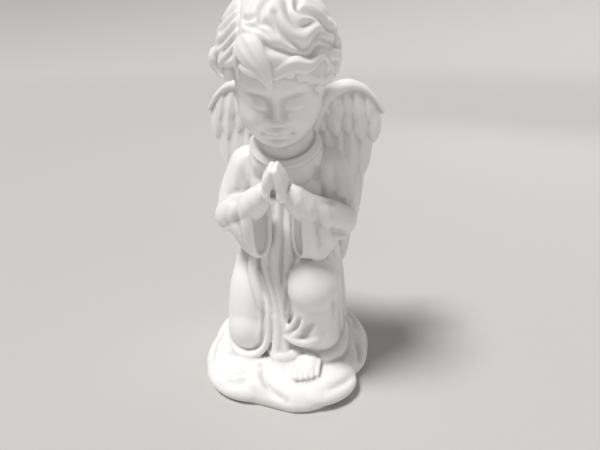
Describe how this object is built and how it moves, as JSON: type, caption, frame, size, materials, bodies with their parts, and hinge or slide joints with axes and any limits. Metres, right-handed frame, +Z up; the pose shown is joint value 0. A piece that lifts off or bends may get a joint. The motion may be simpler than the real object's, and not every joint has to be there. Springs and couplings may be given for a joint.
{
  "type": "kneeling angel figurine",
  "caption": "Printed plastic figurine of a winged child kneeling in prayer on a low rounded base, with wide sleeves, curly hair and folded wings.",
  "frame": {"origin": "middle of the bounding box, on the flat underside of the base", "axes": "+Z up; the figure faces -Y; its own right side, with the knee on the ground, is at -X"},
  "size_m": [0.0872, 0.088, 0.1795],
  "materials": {
    "printed_plastic": "matte, as printed, with faint level layer lines"
  },
  "bodies": {
    "root": {"angel_figurine": "printed_plastic"}
  },
  "joints": []
}
